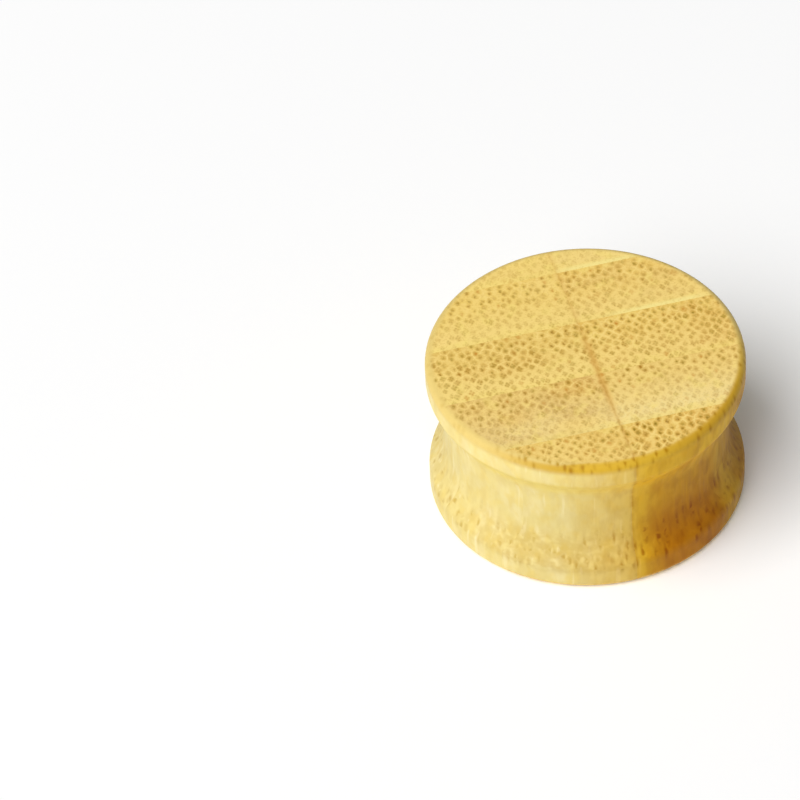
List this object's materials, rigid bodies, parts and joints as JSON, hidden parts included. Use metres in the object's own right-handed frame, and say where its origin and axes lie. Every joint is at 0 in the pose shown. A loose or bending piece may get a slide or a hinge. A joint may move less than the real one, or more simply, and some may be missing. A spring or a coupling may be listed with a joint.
{
  "type": "double-flared bamboo ear plug",
  "caption": "Solid saddle-shaped ear plug with flat ends, turned from a block of glued bamboo strips, with a shallow groove for a stretched earlobe between two flares.",
  "frame": {"origin": "middle of the lower end face, on the surface the plug stands on", "axes": "+Z along the plug's axis, from the lower end face to the upper one; +X across the two boards, from left to right; +Y through the thickness of the strips, from the front row to the back row"},
  "size_m": [0.0248, 0.0248, 0.0132],
  "materials": {
    "bamboo": "satin, sanded and waxed, end grain dotted with vascular bundles"
  },
  "bodies": {
    "root": {"left_strip_1": "bamboo", "left_strip_2": "bamboo", "left_strip_3": "bamboo", "left_strip_4": "bamboo", "left_strip_5": "bamboo", "right_strip_1": "bamboo", "right_strip_2": "bamboo", "right_strip_3": "bamboo", "right_strip_4": "bamboo", "right_strip_5": "bamboo"}
  },
  "joints": []
}
